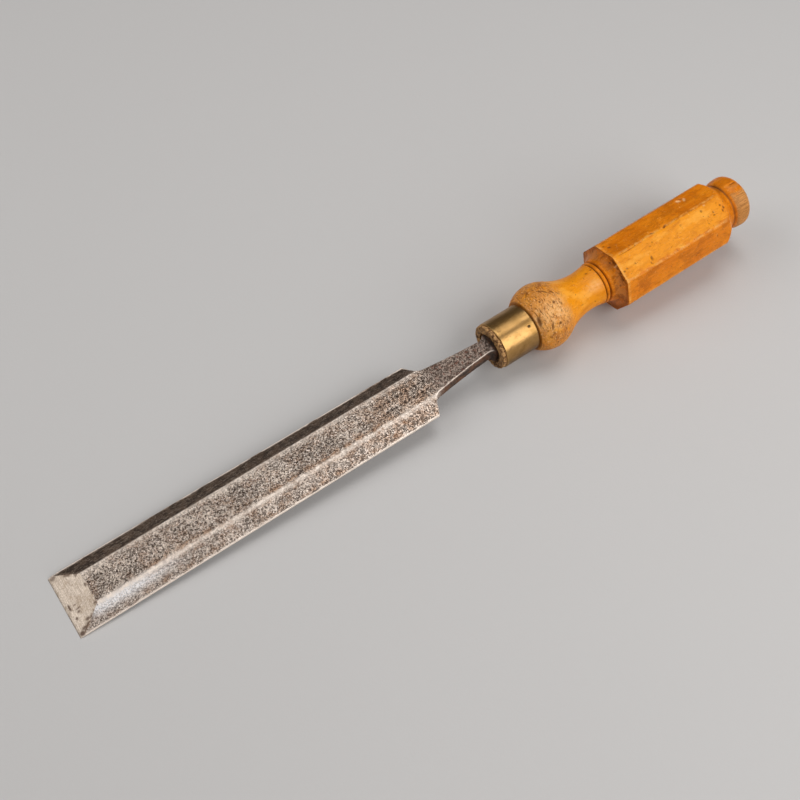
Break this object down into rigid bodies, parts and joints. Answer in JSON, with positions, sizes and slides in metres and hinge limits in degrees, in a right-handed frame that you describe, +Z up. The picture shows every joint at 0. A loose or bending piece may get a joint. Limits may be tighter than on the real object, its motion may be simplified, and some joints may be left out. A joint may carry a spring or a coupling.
{
  "type": "bench chisel",
  "caption": "Bevel-edged bench chisel: tanged steel blade with neck and square bolster, brass ferrule, and a turned boxwood handle with an octagonal grip.",
  "frame": {"origin": "centre of the footprint, on the bench surface that the chisel lies on", "axes": "+X along the chisel from cutting edge to butt, +Y to the left of the blade, +Z up; the chisel rests on its cutting edge and on the bulb of its handle, flat back down"},
  "size_m": [0.3742, 0.0354, 0.0394],
  "materials": {
    "blade_steel": "old forged steel, finely pitted, with brown rust stain and honed end bevel",
    "ferrule_brass": "aged brass tube, satin with fine scratches",
    "handle_boxwood": "polished boxwood, worn at the ridges and bruised on the bulb"
  },
  "bodies": {
    "root": {"blade": "blade_steel", "ferrule": "ferrule_brass", "handle": "handle_boxwood"}
  },
  "joints": []
}
